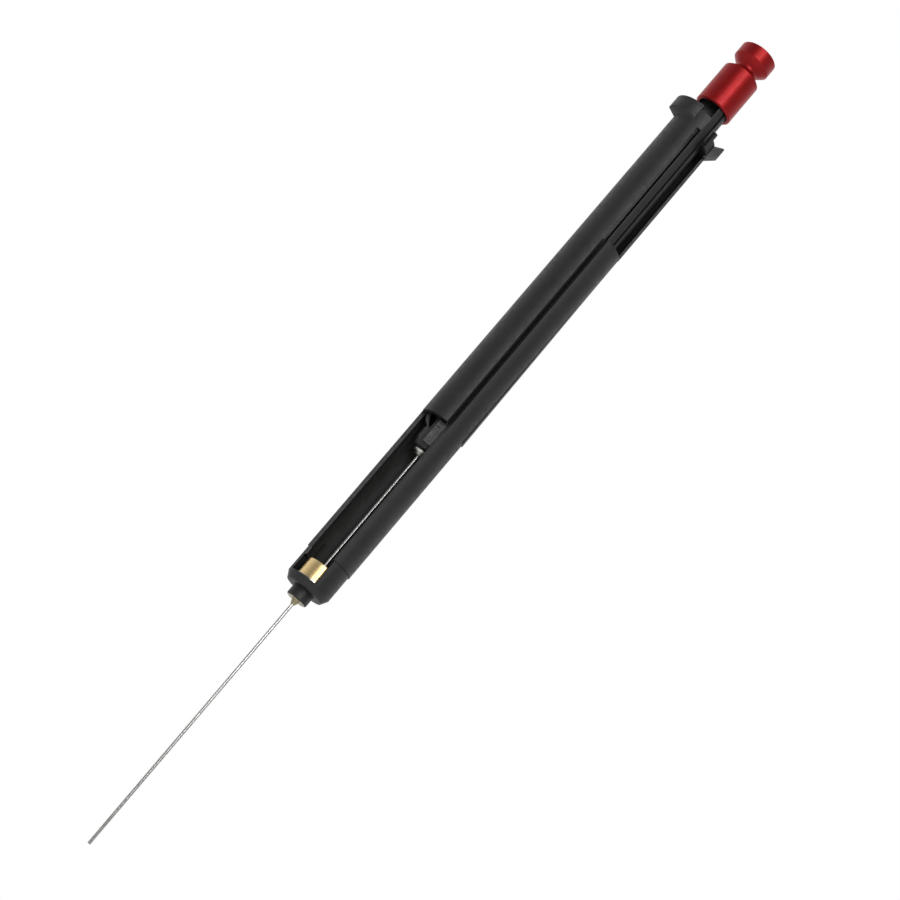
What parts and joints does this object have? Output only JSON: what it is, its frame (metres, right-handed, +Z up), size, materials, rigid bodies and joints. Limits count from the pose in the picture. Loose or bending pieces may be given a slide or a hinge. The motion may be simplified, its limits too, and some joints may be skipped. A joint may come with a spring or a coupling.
{
  "type": "autosampler needle cartridge",
  "caption": "Slim plunger-driven needle cartridge: black half-open barrel, sliding needle guide with magnetic nose, long steel needle and red gripper knob.",
  "frame": {"origin": "needle tip, on the barrel axis", "axes": "+Z up the barrel axis from the needle tip to the knob, -Y towards the barrel's open side, -X towards the seat flange, +X towards the hook"},
  "size_m": [0.0137, 0.01, 0.1994],
  "materials": {
    "black_moulding": "fine spark-eroded satin black glass-filled moulding",
    "black_hub_moulding": "smoother satin black moulding",
    "nickel_nut": "turned, bright",
    "brass": "turned, bright",
    "seal_rubber": "soft septum rubber",
    "needle_steel": "drawn and polished",
    "bush_steel": "turned, bright",
    "gold_plate": "gold plated, polished",
    "red_anodised": "turned, red satin anodised",
    "sorbent_coating": "thin translucent polymer film"
  },
  "bodies": {
    "carrier": {"carrier_shell": "black_moulding", "plunger_track": "black_moulding", "needle_hub": "black_hub_moulding", "needle_nut": "nickel_nut", "needle_ferrule": "brass", "hub_seal": "seal_rubber", "seal_cap": "black_moulding", "needle_tube": "needle_steel"},
    "guide": {"guide_shell": "black_moulding", "nose_cap": "black_moulding", "nozzle_bush": "bush_steel", "needle_cone": "brass", "magnet_ring": "gold_plate", "pole_washer": "gold_plate"},
    "plunger": {"plunger_knob": "red_anodised", "knob_stud": "needle_steel", "ribbed_stem": "black_moulding", "wire_crimp": "brass", "plunger_wire": "needle_steel", "fibre_coating": "sorbent_coating"}
  },
  "joints": [
    {"name": "guide_slide", "type": "slide", "parent": "carrier", "child": "guide", "axis": [0, 0, 1], "range_m": [0, 0.027]},
    {"name": "plunger_slide", "type": "slide", "parent": "carrier", "child": "plunger", "axis": [0, 0, 1], "range_m": [0, 0.02]}
  ]
}
